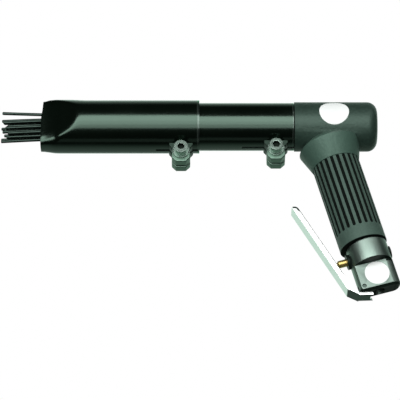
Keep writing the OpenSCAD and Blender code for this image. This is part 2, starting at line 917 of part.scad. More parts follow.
module throttle_valve() {
    color("#c8b27a") valve_frame(seat_x) {
        cylinder(r = poppet_r, h = poppet_t);
        translate([0, 0, poppet_t - cut])
            cylinder(d = poppet_spigot_d, h = poppet_spigot_t + cut);
    }
}

module throttle_spring() {
    length = valve_spring_rear - valve_spring_front - 2 * seat_gap;
    echo(throttle_spring_gap = coil_gap(valve_turns, valve_mean_r, valve_wire, length));
    color("#b7bfbb") valve_frame(valve_spring_front + seat_gap)
        coil(valve_turns, valve_mean_r, valve_wire, length);
}

module valve_plug() {
    color("#2c3431") valve_frame(plug_inner_x) difference() {
        union() {
            cylinder(d = chamber_d - 2 * fixed_fit, h = base_rear - plug_inner_x + plug_flange_t / 2);
            translate([0, 0, base_rear - plug_inner_x])
                cylinder(d = plug_flange_d, h = plug_flange_t);
        }
        translate([0, 0, base_rear - plug_inner_x - plug_flange_t])
            hex_prism(plug_key, base_r);
    }
}

// Arm: a shallow channel, open to the handle, that bends under the throttle body
module lever_arm() {
    difference() {
        linear_extrude(lever_w, center = true)
            polygon([
                arm_tip,
                heel,
                foot_front + foot_down,
                foot_front,
                heel + arm_in * lever_depth + arm_dir * heel_gusset,
                arm_tip + arm_in * lever_depth]);
        linear_extrude(lever_w - 2 * lever_sheet, center = true)
            polygon([
                heel + arm_in * lever_sheet,
                foot_front,
                [base_d, foot_front[1]],
                [base_d, 2 * lever_length],
                arm_tip + arm_in * lever_sheet + arm_dir * lever_length]);
        translate(arm_tip + arm_in * (lever_depth - lever_tip_r) - arm_dir * lever_tip_r)
            rotate(lever_lean)
                tip_round();
    }
}

// What is cut from the corner of the arm to round its tip
module tip_round() {
    far = 2 * lever_w;
    difference() {
        translate([0, 0, -far / 2])
            cube([far, far, far]);
        translate([0, 0, -far])
            cylinder(r = lever_tip_r, h = 2 * far);
    }
}

// Foot under the throttle body, hollowed to clear the inlet, with the tongue that hangs on the pin
module lever_foot() {
    difference() {
        linear_extrude(foot_w, center = true)
            polygon([
                foot_front + foot_down + [-cut, cut],
                foot_front + foot_down,
                foot_rear + foot_down,
                foot_rear,
                foot_front,
                foot_front + [-cut, 0]]);
        translate([lever_pin_out, base_d, 0])
            rotate([90, 0, 0])
                cylinder(r = foot_clear_r, h = 2 * base_d);
    }
    linear_extrude(tongue_t, center = true)
        polygon([
            [-tongue_r, 0],
            [tongue_r, 0],
            [tongue_r, foot_front[1] - foot_slope * (tongue_r - foot_front[0]) - foot_t / 2],
            [-tongue_r, foot_front[1] + foot_slope * (tongue_r + foot_front[0]) - foot_t / 2]]);
    cylinder(r = tongue_r, h = tongue_t, center = true);
}

// Pressed steel throttle lever, in one piece
module throttle_lever() {
    color("#d9dfdc") pin_frame(0) rotate([180, 0, 0]) difference() {
        union() {
            lever_arm();
            lever_foot();
        }
        cylinder(d = lever_pin_d + 2 * slide_fit, h = 2 * tongue_t, center = true);
    }
}

module lever_pin() {
    half = flat_half - pin_recess;
    color("#aab2ae") pin_frame(-half)
        cylinder(d = lever_pin_d - 2 * fixed_fit, h = 2 * half);
}

handle_housing();
grip_sleeve();
rear_tube();
front_tube();
rear_clamp_screw();
rear_clamp_washer();
rear_clamp_nut();
front_clamp_screw();
front_clamp_washer();
front_clamp_nut();
cylinder_node();  // cylinder
valve_seat_plate();
valve_disc();
valve_cap();
piston();
anvil();
needle_holder();
needles();
return_spring();
spring_seat();
throttle_body();
handle_seal();
inlet_strainer();
throttle_button();
button_bush();
button_seal();
throttle_valve();
throttle_spring();
valve_plug();
throttle_lever();
lever_pin();
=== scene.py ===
import json
import math

import bmesh
import bpy
from bpy.props import FloatProperty, FloatVectorProperty, IntProperty, PointerProperty
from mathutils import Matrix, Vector

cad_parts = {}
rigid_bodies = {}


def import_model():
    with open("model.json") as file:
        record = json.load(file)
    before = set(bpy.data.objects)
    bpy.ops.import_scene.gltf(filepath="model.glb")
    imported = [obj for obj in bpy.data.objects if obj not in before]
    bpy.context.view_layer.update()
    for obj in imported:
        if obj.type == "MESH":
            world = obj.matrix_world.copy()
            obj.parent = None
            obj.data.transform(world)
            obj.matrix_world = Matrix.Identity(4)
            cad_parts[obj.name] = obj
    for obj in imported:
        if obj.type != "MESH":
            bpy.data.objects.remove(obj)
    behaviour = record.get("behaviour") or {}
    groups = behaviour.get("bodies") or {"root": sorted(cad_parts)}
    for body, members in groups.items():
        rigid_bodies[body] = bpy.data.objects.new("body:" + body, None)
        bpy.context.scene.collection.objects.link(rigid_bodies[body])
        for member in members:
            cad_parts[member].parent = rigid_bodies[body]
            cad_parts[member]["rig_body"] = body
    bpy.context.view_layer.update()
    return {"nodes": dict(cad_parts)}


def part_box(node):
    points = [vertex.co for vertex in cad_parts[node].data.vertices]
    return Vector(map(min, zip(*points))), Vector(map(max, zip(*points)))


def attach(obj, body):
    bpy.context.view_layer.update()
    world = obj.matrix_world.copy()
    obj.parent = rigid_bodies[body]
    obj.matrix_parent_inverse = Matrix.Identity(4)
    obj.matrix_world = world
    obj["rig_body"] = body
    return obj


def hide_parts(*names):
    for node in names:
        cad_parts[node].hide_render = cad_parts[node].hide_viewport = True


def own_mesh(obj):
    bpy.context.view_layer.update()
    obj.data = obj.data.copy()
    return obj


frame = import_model()

bl_info = {
    "name": "Needle scaler looks",
    "version": (1, 0, 0),
    "blender": (4, 5, 0),
    "location": "3D View > Sidebar > Scaler",
    "description": "Finishes, softened edges and studio for an air needle scaler",
    "category": "Object",
}

NOSE_LOW, NOSE_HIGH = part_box("front_tube")
REAR_LOW, REAR_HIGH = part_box("rear_tube")
MM = 0.001

# Vertices of a CAD mesh closer than this are one, and faces closer than this angle to flat are one face
WELD = 2e-6
FLAT = math.radians(0.4)

# Lengths shorter than this count as none
NEAR = 1e-6


class ScalerSizes(bpy.types.PropertyGroup):
    """Sizes of the visible pieces that are lofted or wound here"""

    lean: FloatProperty(
        name="Handle lean", description="Lean of the handle from square to the barrel",
        default=math.radians(15.4), subtype="ANGLE")
    nose_radius: FloatProperty(
        name="Nose tube radius", description="Outside radius of the front tube",
        default=25.28 * MM, unit="LENGTH")
    nose_wall: FloatProperty(
        name="Nose tube wall", description="Wall of the front tube", default=2.5 * MM, unit="LENGTH")
    nose_length: FloatProperty(
        name="Nose length", description="Length of the flattened nose", default=35 * MM, unit="LENGTH")
    nose_half: FloatProperty(
        name="Nose half width", description="Half thickness of the nose at its mouth",
        default=11.8 * MM, unit="LENGTH")
    nose_angle: FloatProperty(
        name="Nose angle", description="Slope of the nose flats at the mouth",
        default=math.radians(11), subtype="ANGLE")
    facet_slant: FloatProperty(
        name="Facet slant", description="Lean of the facets below the nose flats, from upright",
        default=math.radians(20), subtype="ANGLE")
    nose_slit: FloatProperty(
        name="Nose tube slit", description="Length of the slit in the front tube",
        default=41 * MM, unit="LENGTH")
    rear_radius: FloatProperty(
        name="Rear tube radius", description="Outside radius of the rear tube",
        default=22.7 * MM, unit="LENGTH")
    rear_wall: FloatProperty(
        name="Rear tube wall", description="Wall of the rear tube", default=2 * MM, unit="LENGTH")
    rear_slit: FloatProperty(
        name="Rear tube slit", description="Length of the slit in the rear tube",
        default=49 * MM, unit="LENGTH")
    slit_width: FloatProperty(
        name="Slit width", description="Width of the clamp slits", default=3 * MM, unit="LENGTH")
    clamp_set: FloatProperty(
        name="Clamp set", description="Rear end of a tube to its clamp screw",
        default=17.3 * MM, unit="LENGTH")
    screw_drop: FloatProperty(
        name="Screw drop", description="Tube surface to the clamp screw axis",
        default=6.4 * MM, unit="LENGTH")
    ear_thickness: FloatProperty(
        name="Ear thickness", description="Thickness of one clamp ear", default=8.5 * MM, unit="LENGTH")
    ear_width: FloatProperty(
        name="Ear width", description="Width of a clamp ear along the tube", default=17.4 * MM, unit="LENGTH")
    ear_root: FloatProperty(
        name="Ear root", description="Width of a clamp ear where it is welded on",
        default=23 * MM, unit="LENGTH")
    ear_margin: FloatProperty(
        name="Ear margin", description="Clamp screw axis to the foot of the ear",
        default=11 * MM, unit="LENGTH")
    ear_chamfer: FloatProperty(
        name="Ear chamfer", description="Chamfer of the lower corners of an ear",
        default=4.1 * MM, unit="LENGTH")
    needle_radius: FloatProperty(
        name="Needle radius", description="Radius of one needle", default=1.5 * MM, unit="LENGTH")
    needle_pitch: FloatProperty(
        name="Needle pitch", description="Pitch of the needles in their holder",
        default=5 * MM, unit="LENGTH")
    needle_length: FloatProperty(
        name="Needle length", description="Length of the longest needle", default=180 * MM, unit="LENGTH")
    needle_head: FloatProperty(
        name="Needle head", description="Radius of the head of a needle", default=2.2 * MM, unit="LENGTH")
    needle_head_length: FloatProperty(
        name="Needle head length", description="Length of the head of a needle",
        default=3 * MM, unit="LENGTH")
    needle_stagger: FloatProperty(
        name="Needle stagger", description="Most that a needle ends short of the longest",
        default=7 * MM, unit="LENGTH")
    needle_bow: FloatProperty(
        name="Needle bow", description="Most that a needle bows sideways", default=0.5 * MM, unit="LENGTH")
    needle_squeeze: FloatProperty(
        name="Needle squeeze", description="Share by which the nose draws the needles together sideways",
        default=0.39, subtype="FACTOR")
    needle_spread: FloatProperty(
        name="Needle spread", description="Share by which the nose spreads the needles in height",
        default=0.15, subtype="FACTOR")
    needle_lift: FloatProperty(
        name="Needle lift", description="Rise of the topmost needle at the mouth", default=1.9 * MM,
        unit="LENGTH")
    needle_droop: FloatProperty(
        name="Needle droop", description="Drop of the other needles at the mouth", default=2.5 * MM,
        unit="LENGTH")
    grip_radius: FloatProperty(
        name="Grip radius", description="Outside radius of the grip sleeve", default=22.4 * MM, unit="LENGTH")
    head_radius: FloatProperty(
        name="Head radius", description="Outside radius of the head", default=23.5 * MM, unit="LENGTH")
    head_plate: FloatProperty(
        name="Head plate radius", description="Radius of the bare plate on the head",
        default=14 * MM, unit="LENGTH")
    head_plate_x: FloatProperty(
        name="Head plate place", description="Place of the bare plate along the head",
        default=-37.9 * MM, unit="LENGTH")
    head_plate_rise: FloatProperty(
        name="Head plate rise",
        description="Middle of the bare plate above the side of the head, round the head",
        default=4.1 * MM, unit="LENGTH")
    body_plate: FloatProperty(
        name="Throttle plate radius", description="Radius of the bare plate on the throttle body",
        default=11.5 * MM, unit="LENGTH")
    body_plate_x: FloatProperty(
        name="Throttle plate set", description="Handle axis to the middle of the bare plate",
        default=2.4 * MM, unit="LENGTH")
    body_plate_height: FloatProperty(
        name="Throttle plate height", description="Inlet mouth to the middle of the bare plate",
        default=14.8 * MM, unit="LENGTH")
    plate_recess: FloatProperty(
        name="Plate recess", description="Depth of the recess for the bare plate on the throttle body",
        default=0.3 * MM, unit="LENGTH")
    lever_lean: FloatProperty(
        name="Lever lean", description="Lean of the lever from the handle", default=math.radians(15.1),
        subtype="ANGLE")
    lever_length: FloatProperty(
        name="Lever length", description="Length of the lever from its heel to its tip", default=95 * MM,
        unit="LENGTH")
    lever_depth: FloatProperty(
        name="Lever depth", description="Depth of the lever's flanges", default=4.9 * MM, unit="LENGTH")
    tip_radius: FloatProperty(
        name="Lever tip radius", description="Rounding of the flanges at the tip of the lever",
        default=4.5 * MM, unit="LENGTH")
    # Painted shade: widths of the dark line along the cut edges of the lever's flanges and round its tip
    lever_shade_width: FloatProperty(
        name="Lever edge shade", description="Width of the worn line along the flanges", default=0.5 * MM,
        unit="LENGTH")
    tip_shade_width: FloatProperty(
        name="Lever tip shade", description="Width of the worn line round the tip", default=1.7 * MM,
        unit="LENGTH")
    return_wire: FloatProperty(
        name="Return spring wire", description="Wire of the return spring", default=2.6 * MM, unit="LENGTH")
    return_turns: IntProperty(name="Return spring turns", description="Turns of the return spring", default=5)
    valve_wire: FloatProperty(
        name="Valve spring wire", description="Wire of the valve spring", default=0.7 * MM, unit="LENGTH")
    valve_turns: IntProperty(name="Valve spring turns", description="Turns of the valve spring", default=4)
    body_flat: FloatProperty(
        name="Throttle flat", description="Half thickness of the throttle body across its flats",
        default=8.97 * MM, unit="LENGTH")
    body_radius: FloatProperty(
        name="Throttle body radius", description="Radius of the throttle body",
        default=19.5 * MM, unit="LENGTH")
    body_shift: FloatProperty(
        name="Throttle body shift", description="Handle axis to the middle of the throttle body",
        default=1.8 * MM, unit="LENGTH")
    body_round_x: FloatProperty(
        name="Rounding set", description="Handle axis to where a flat starts to round off at the rear",
        default=14.1 * MM, unit="LENGTH")
    body_round_top: FloatProperty(
        name="Rounding top", description="Inlet mouth to the upper end of the rounded edges",
        default=24.5 * MM, unit="LENGTH")
    body_round_angle: FloatProperty(
        name="Rounding angle", description="Angle at which the rounded edges meet the back",
        default=math.radians(15), subtype="ANGLE")


class ScalerColours(bpy.types.PropertyGroup):
    """Colours of the finishes, linear"""

    tube: FloatVectorProperty(
        name="Tube enamel", description="Glossy black of the two tubes", subtype="COLOR", size=4,
        default=(0.0010, 0.0020, 0.0012, 1))
    casting: FloatVectorProperty(
        name="Casting paint", description="Satin green black of the head and neck", subtype="COLOR", size=4,
        default=(0.033, 0.062, 0.048, 1))
    grip: FloatVectorProperty(
        name="Grip", description="Moulded sleeve", subtype="COLOR", size=4, default=(0.060, 0.098, 0.080, 1))
    zinc: FloatVectorProperty(
        name="Zinc", description="Plated screws, nuts and washers", subtype="COLOR", size=4,
        default=(0.25, 0.33, 0.285, 1))
    ear: FloatVectorProperty(
        name="Ear steel", description="Welded clamp ears", subtype="COLOR", size=4,
        default=(0.17, 0.27, 0.21, 1))
    alloy: FloatVectorProperty(
        name="Alloy", description="Turned throttle body", subtype="COLOR", size=4,
        default=(0.225, 0.295, 0.258, 1))
    lever: FloatVectorProperty(
        name="Lever plating", description="Bright plated lever", subtype="COLOR", size=4,
        default=(0.86, 0.95, 0.90, 1))
    # Painted shade: this dark colour is laid on the lever's downward faces and along its flange edges, and is
    # also the lever pin's dark metal
    foot: FloatVectorProperty(
        name="Lever foot", description="Worn underside of the lever at its pivot", subtype="COLOR", size=4,
        default=(0.07, 0.10, 0.085, 1))
    brass: FloatVectorProperty(
        name="Brass", description="Button, strainer and valve", subtype="COLOR", size=4,
        default=(0.62, 0.44, 0.13, 1))
    steel: FloatVectorProperty(
        name="Machined steel", description="Ground inner pieces", subtype="COLOR", size=4,
        default=(0.52, 0.54, 0.53, 1))
    needle: FloatVectorProperty(
        name="Needle wire", description="Dark drawn needles", subtype="COLOR", size=4,
        default=(0.034, 0.050, 0.042, 1))
    # Also painted shade, through its finish, on the throttle body's downward faces and inside the screw
    # sockets
    blackened: FloatVectorProperty(
        name="Blackened steel", description="Bush, plug and needle holder", subtype="COLOR", size=4,
        default=(0.006, 0.010, 0.0075, 1))
    seal: FloatVectorProperty(
        name="Seal rubber", description="Seals", subtype="COLOR", size=4, default=(0.012, 0.012, 0.012, 1))
    enamel: FloatVectorProperty(
        name="White enamel", description="Bare plates", subtype="COLOR", size=4,
        default=(0.90, 0.92, 0.91, 1))


class ScalerStage(bpy.types.PropertyGroup):
    """Camera and lights of the studio"""

    distance: FloatProperty(
        name="Camera distance", description="Camera to the middle of the view", default=2.5, unit="LENGTH")
    elevation: FloatProperty(
        name="Camera elevation", description="Height of the camera above the horizon",
        default=math.radians(-28.24), subtype="ANGLE")
    lens: FloatProperty(name="Lens", description="Focal length in millimetres", default=240.45)
    target: FloatVectorProperty(
        name="Target", description="Middle of the view", subtype="XYZ", size=3,
        default=(-0.1644, 0.0, 0.0953))
    azimuth: FloatProperty(
        name="Light azimuth", description="Set of the upper and lower softboxes to the right of the camera",
        default=math.radians(-2), subtype="ANGLE")
    middle_azimuth: FloatProperty(
        name="Middle azimuth", description="Set of the middle softbox to the right of the camera",
        default=math.radians(-16), subtype="ANGLE")
    side_azimuth: FloatProperty(
        name="Side azimuth", description="Set of the side softbox to the right of the camera",
        default=math.radians(40), subtype="ANGLE")
    key: FloatProperty(name="Key", description="Radiance of the upper softbox", default=4.0)
    middle: FloatProperty(name="Middle", description="Radiance of the middle softbox", default=3.3)
    fill: FloatProperty(name="Fill", description="Radiance of the lower softbox", default=2.1)
    side: FloatProperty(name="Side", description="Radiance of the softbox at the upper right", default=1.4)
    back: FloatProperty(
        name="Back", description="Radiance of the softbox behind, which only dull surfaces see", default=3.0)
    room: FloatProperty(name="Room", description="Level of the room light", default=0.10)
    floor: FloatProperty(name="Floor", description="Height of the floor", default=-5.0, unit="LENGTH")
    floor_half: FloatProperty(
        name="Floor half width", description="Half width of the floor", default=0.65, unit="LENGTH")


def settings(context):
    """Sizes, colours and stage, as the scene holds them"""
    scene = context.scene
    return scene.scaler_sizes, scene.scaler_colours, scene.scaler_stage


def barrel_height(sizes):
    """Height of the axis that the tubes and the head share"""
    return NOSE_HIGH.z - sizes.nose_radius


def handle_axis(sizes):
    """Direction of the handle, from the air inlet up to the head"""
    return Vector((-math.sin(sizes.lean), 0, math.cos(sizes.lean)))


class Field:
    """A shader socket that takes part in Python arithmetic; each operation adds one Math node"""

    def __init__(self, tree, socket):
        self.tree = tree
        self.socket = socket

    def add(self, kind, setup=None, values=None, output=0):
        """A new node: its settings are set first, then the values or links of its sockets"""
        node = self.tree.nodes.new(kind)
        for name, value in (setup or {}).items():
            setattr(node, name, value)
        for key, value in (values or {}).items():
            if isinstance(value, Field):
                self.tree.links.new(value.socket, node.inputs[key])
            else:
                node.inputs[key].default_value = value
        return Field(self.tree, node.outputs[output])

    def math(self, operation, *values):
        """One Math node on values or links"""
        return self.add("ShaderNodeMath", {"operation": operation}, dict(enumerate(values)))

    def __add__(self, other):
        return self.math("ADD", self, other)

    def __radd__(self, other):
        return self.math("ADD", other, self)

    def __sub__(self, other):
        return self.math("SUBTRACT", self, other)

    def __rsub__(self, other):
        return self.math("SUBTRACT", other, self)

    def __mul__(self, other):
        return self.math("MULTIPLY", self, other)

    def __rmul__(self, other):
        return self.math("MULTIPLY", other, self)

    def ramp(self, low, high):
        """Goes smoothly from 0 at low to 1 at high"""
        return self.add(
            "ShaderNodeMapRange", {"interpolation_type": "SMOOTHSTEP"},
            {"Value": self, "From Min": low, "From Max": high, "To Min": 0.0, "To Max": 1.0})

    def mix(self, first, second):
        """A colour that goes from first to second as this value goes from 0 to 1"""
        return self.add("ShaderNodeMix", {"data_type": "RGBA"}, {0: self, 6: first, 7: second}, output=2)

    def tones(self, colour, low, high):
        """A colour that goes from a darker to a lighter shade of itself as this value goes from 0 to 1"""
        return self.mix(shade(colour, low), shade(colour, high))

    def rays(self):
        """Two fields: 1 for rays from the camera, and 1 for rays by way of gloss or glass"""
        kinds = ("Is Camera Ray", "Is Glossy Ray", "Is Transmission Ray")
        seen, mirrored, through = (self.add("ShaderNodeLightPath", output=kind) for kind in kinds)
        return seen, mirrored + through


class Finish:
    """One material: its Principled shader, its place on the object and the maps that drive it"""

    def __init__(self, name):
        self.material = bpy.data.materials.new(name)
        self.material.use_nodes = True
        tree = self.material.node_tree
        self.shader = tree.nodes["Principled BSDF"]
        place = tree.nodes.new("ShaderNodeTexCoord")
        self.place = Field(tree, place.outputs["Object"])

    def set(self, **constants):
        """Sets what is the same all over the surface"""
        for name, value in constants.items():
            self.shader.inputs[name.replace("_", " ")].default_value = value
        return self

    def drive(self, socket, field):
        """Links what varies over the surface"""
        field.tree.links.new(field.socket, self.shader.inputs[socket])

    def noise(self, scale, detail=4.0, roughness=0.5, stretch=(1, 1, 1), turn=(0, 0, 0)):
        """Noise on the object, stretched along its axes and then turned"""
        spot = self.place.add(
            "ShaderNodeMapping", {"vector_type": "POINT"},
            {"Vector": self.place, "Rotation": turn, "Scale": stretch})
        return spot.add(
            "ShaderNodeTexNoise", {"noise_dimensions": "3D"},
            {"Vector": spot, "Scale": scale, "Detail": detail, "Roughness": roughness})

    def from_axis(self, through, along):
        """Distance to the axis through a point"""
        spot = self.place.add("ShaderNodeVectorMath", {"operation": "SUBTRACT"}, {0: self.place, 1: through})
        across = spot.add("ShaderNodeVectorMath", {"operation": "CROSS_PRODUCT"}, {0: spot, 1: along})
        return across.add("ShaderNodeVectorMath", {"operation": "LENGTH"}, {0: across}, output="Value")

    def from_barrel(self, sizes):
        """Distance to the axis of the barrel"""
        return self.from_axis((0, 0, barrel_height(sizes)), (1, 0, 0))

    def along(self, way):
        """Distance from the origin along a direction"""
        return self.place.add(
            "ShaderNodeVectorMath", {"operation": "DOT_PRODUCT"}, {0: self.place, 1: way}, output="Value")

    def bump(self, height, strength, depth=0.1 * MM):
        """Raises the surface by a field"""
        values = {"Strength": strength, "Distance": depth, "Height": height}
        self.drive("Normal", height.add("ShaderNodeBump", None, values))


def shade(colour, amount):
    """The colour made lighter or darker"""
    return tuple(min(1.0, c * amount) for c in colour[:3]) + (1.0,)


def tube_enamel(sizes, colours):
    """Glossy enamel, rubbed off to bare steel along the rear ends of the two tubes"""
    finish = Finish("tube enamel").set(Specular_IOR_Level=0.55, Specular_Tint=(0.66, 1.0, 0.80, 1), IOR=1.67)
    along = finish.along((1, 0, 0))
    # The bare rims; on the front tube only outside, not in its bore
    outer = finish.from_barrel(sizes).ramp(sizes.nose_radius - 1.4 * MM, sizes.nose_radius - 1.2 * MM)
    nose_end = along.ramp(NOSE_HIGH.x - 2.4 * MM, NOSE_HIGH.x - 1.4 * MM) * outer
    wear_and_shade = nose_end + along.ramp(REAR_HIGH.x - 1.8 * MM, REAR_HIGH.x - 1.0 * MM)
    cloud = finish.noise(28, detail=3)
    peel = finish.noise(900, detail=2)
    draw = finish.noise(240, detail=3, stretch=(0.03, 1, 1))
    enamel = cloud.tones(colours.tube, 0.7, 1.35)
    finish.drive("Base Color", wear_and_shade.mix(enamel, shade(colours.zinc, 0.36)))
    finish.drive("Metallic", wear_and_shade * 0.9)
    finish.drive("Roughness", 0.13 + cloud * 0.07 + draw * 0.05)
    finish.bump(peel * 0.6 + draw * 0.4, strength=0.10)


def casting_paint(sizes, colours):
    """Stippled paint, with painted shade on the round head, which is darker, and painted light on the neck,
    which is lighter and slightly rougher
    """
    finish = Finish("casting paint").set(Specular_IOR_Level=0.6, Specular_Tint=(0.70, 1.0, 0.84, 1))
    cloud = finish.noise(34, detail=5, roughness=0.6)
    grain = finish.noise(1000, detail=3, roughness=0.65)
    lumps = finish.noise(420, detail=2)
    # Painted light and shade: away from the barrel the neck is painted lighter as if lit, and the round head
    # darker as if shaded
    neck = finish.from_barrel(sizes).ramp(sizes.head_radius + 0.2 * MM, sizes.head_radius + 1.6 * MM)
    tone = cloud * 0.4 + lumps * 0.6
    shaded_head_tone, lit_neck_tone = tone.tones(colours.casting, 0.15, 1.0), tone.tones(colours.casting, 1.2, 1.9)
    finish.drive("Base Color", neck.mix(shaded_head_tone, lit_neck_tone))
    finish.drive("Roughness", 0.38 + grain * 0.12 + neck * 0.05)
    finish.bump(grain * 0.5 + lumps * 1.0, strength=0.55, depth=0.4 * MM)


def grip_moulding(sizes, colours):
    """Moulded sleeve with painted shade in its grooves, which are near black and duller, told from the ribs
    by the distance to the handle axis
    """
    finish = Finish("grip moulding").set(Specular_IOR_Level=0.30, Specular_Tint=(0.75, 1.0, 0.86, 1))
    cloud = finish.noise(40, roughness=0.6)
    grain = finish.noise(1700, detail=3, roughness=0.6)
    lumps = finish.noise(560, detail=2)
    radius = finish.from_axis((0, 0, 0), handle_axis(sizes))
    # Painted shade: below the rib tops the grooves are painted near black and made duller
    high = radius.ramp(sizes.grip_radius - 0.6 * MM, sizes.grip_radius - 0.12 * MM)
    tone = (cloud * 0.5 + lumps * 0.5).tones(colours.grip, 0.55, 1.45)
    finish.drive("Base Color", high.mix(shade(colours.grip, 0.02), tone))
    finish.drive("Roughness", 0.92 - high * 0.46 + grain * 0.08)
    finish.bump(grain, strength=0.20, depth=0.2 * MM)


def metal(name, colour, roughness, spread, brush=(1, 1, 1), turn=(0, 0, 0), scale=320, strength=0.10):
    """A bare metal with a cloudy tone and fine lines along one direction"""
    finish = Finish(name).set(Metallic=1.0)
    cloud = finish.noise(70, roughness=0.6)
    lines = finish.noise(scale, detail=3, roughness=0.6, stretch=brush, turn=turn)
    finish.drive("Base Color", (cloud * 0.6 + lines * 0.4).tones(colour, 0.80, 1.20))
    finish.drive("Roughness", roughness - spread * 0.5 + lines * spread)
    finish.bump(lines, strength)


def lever_plating(sizes, colours):
    """Bright plating, with painted shade: dark along the cut edges of the flanges and round their tip"""
    finish = Finish("lever plating").set(Metallic=1.0)
    lean = sizes.lean + sizes.lever_lean
    up = Vector((-math.sin(lean), 0, math.cos(lean)))
    inward = Vector((math.cos(lean), 0, math.sin(lean)))
    points = [vert.co for vert in frame["nodes"]["throttle_lever"].data.vertices]
    tip = max(point.dot(up) for point in points)
    heel = tip - sizes.lever_length
    outer = min(point.dot(inward) for point in points if point.dot(up) > tip - 1 * MM)
    climb = finish.along(up)
    deep = finish.along(inward) - outer
    past = climb - (tip - sizes.tip_radius)
    end = past.math("MAXIMUM", past, 0.0)
    side = deep - (sizes.lever_depth - sizes.tip_radius)
    squares = end * end + side * side
    reach = squares.math("SQRT", squares)
    near_tip = climb.ramp(tip - 2 * sizes.tip_radius, tip - sizes.tip_radius)
    wide = sizes.lever_shade_width + (sizes.tip_shade_width - sizes.lever_shade_width) * near_tip
    # Painted shade: a dark line along the flange edges, wider round the tip
    wear_and_shade = (reach + wide).ramp(sizes.tip_radius - 0.1 * MM, sizes.tip_radius + 0.1 * MM)
    wear_and_shade = wear_and_shade * deep.ramp(0.3 * MM, 0.8 * MM) * climb.ramp(heel + 8 * MM, heel + 12 * MM)
    cloud = finish.noise(70, roughness=0.6)
    lines = finish.noise(420, detail=3, roughness=0.6, stretch=(1, 1, 0.04), turn=(0, sizes.lean, 0))
    plate = (cloud * 0.6 + lines * 0.4).tones(colours.lever, 0.80, 1.20)
    # The painted shade takes a darker shade of the foot colour
    finish.drive("Base Color", wear_and_shade.mix(plate, shade(colours.foot, 0.4)))
    finish.drive("Roughness", 0.23 + lines * 0.10)
    finish.bump(lines, strength=0.03)


def ear_steel(sizes, colours):
    """Clamp ear: enamelled dark at the weld, rubbed to grey steel at its foot"""
    finish = Finish("ear steel").set(Metallic=1.0)
    cloud = finish.noise(90, roughness=0.6)
    lines = finish.noise(320, detail=3, roughness=0.6)
    ragged = finish.from_barrel(sizes) + cloud * 3 * MM
    foot = ragged.ramp(sizes.nose_radius + 5 * MM, sizes.nose_radius + 11 * MM)
    tone = (cloud * 0.6 + lines * 0.4).tones(colours.ear, 0.8, 1.2)
    finish.drive("Base Color", foot.mix(shade(colours.ear, 0.22), tone))
    finish.drive("Roughness", 0.34 + lines * 0.12)
    finish.bump(lines, strength=0.1)


def coating(name, colour, tones, cloud, grain, roughness, spread, strength, **constants):
    """A coat or a rubber with a cloudy tone and a fine grain"""
    finish = Finish(name).set(**constants)
    tone = finish.noise(**cloud)
    finish.drive("Base Color", tone.tones(colour, *tones))
    finish.drive("Roughness", roughness + tone * spread)
    finish.bump(finish.noise(**grain), strength)


def finishes(context):
    """Makes all the finishes once; pieces then find them by name"""
    if "tube enamel" in bpy.data.materials:
        return
    sizes, colours = settings(context)[:2]
    turn = (0, sizes.lean, 0)
    for make in (tube_enamel, casting_paint, grip_moulding, lever_plating, ear_steel):
        make(sizes, colours)
    coating("seal rubber", colours.seal, (0.8, 1.4), {"scale": 1500, "detail": 2},
            {"scale": 1500, "detail": 2}, roughness=0.55, spread=0.15, strength=0.2, Specular_IOR_Level=0.3)
    # Blackened steel of the bush, plug, cylinder and holder, also laid as painted shade on downward faces and
    # in screw sockets
    coating("blackened steel and painted shade", colours.blackened, (0.7, 1.5), {"scale": 120, "roughness": 0.6},
            {"scale": 1400, "detail": 3}, roughness=0.32, spread=0.14, strength=0.12,
            Specular_IOR_Level=0.1, Specular_Tint=(0.75, 1.0, 0.86, 1))
    coating("white enamel", colours.enamel, (0.97, 1.03), {"scale": 60, "detail": 3},
            {"scale": 700, "detail": 2}, roughness=0.30, spread=0.10, strength=0.05, Specular_IOR_Level=0.5)
    metal("zinc plate", colours.zinc, roughness=0.26, spread=0.14)
    metal("turned alloy", colours.alloy, roughness=0.42, spread=0.12, brush=(0.05, 0.05, 1), turn=turn,
          scale=900, strength=0.16)
    # Dark metal of the lever pin, also laid as painted shade on the lever's downward faces
    metal("worn foot", colours.foot, roughness=0.36, spread=0.14)
    metal("brass", colours.brass, roughness=0.26, spread=0.10)
    metal("machined steel", colours.steel, roughness=0.30, spread=0.14, brush=(1, 0.05, 0.05), scale=700)
    metal("needle wire", colours.needle, roughness=0.26, spread=0.12, brush=(0.03, 1, 1), scale=700)
    metal("spring wire", colours.steel, roughness=0.32, spread=0.12)


def new_piece(name, mesh, body, slot, finish, *nodes):
    """Links a mesh as a piece that rides on a body, shows a finish and stands for CAD nodes"""
    piece = bpy.data.objects.new(name, mesh)
    bpy.context.scene.collection.objects.link(piece)
    mesh.materials.clear()
    mesh.materials.append(bpy.data.materials[finish])
    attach(piece, body)
    if nodes:
        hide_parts(*nodes)
    return piece


def built(name, works, body, slot, finish, *nodes, degrees):
    """A new piece from one or more bmeshes, shaded smooth up to an angle"""
    whole = bmesh.new()
    for work in works:
        part = bpy.data.meshes.new("part")
        work.to_mesh(part)
        work.free()
        whole.from_mesh(part)
        bpy.data.meshes.remove(part)
    mesh = bpy.data.meshes.new(name)
    whole.to_mesh(mesh)
    whole.free()
    smooth(mesh, degrees)
    return new_piece(name, mesh, body, slot, finish, *nodes)


def smooth(mesh, degrees):
    """Shades a mesh smooth, apart from edges sharper than an angle"""
    mesh.shade_smooth()
    mesh.set_sharp_from_angle(angle=math.radians(degrees))


def bevel(piece, width, degrees=32, segments=2):
    """Rounds the edges of a piece that are sharper than an angle"""
    step = piece.modifiers.new("edges", "BEVEL")
    step.width = width
    step.segments = segments
    step.limit_method = "ANGLE"
    step.angle_limit = math.radians(degrees)
    step.use_clamp_overlap = True
    step.harden_normals = False


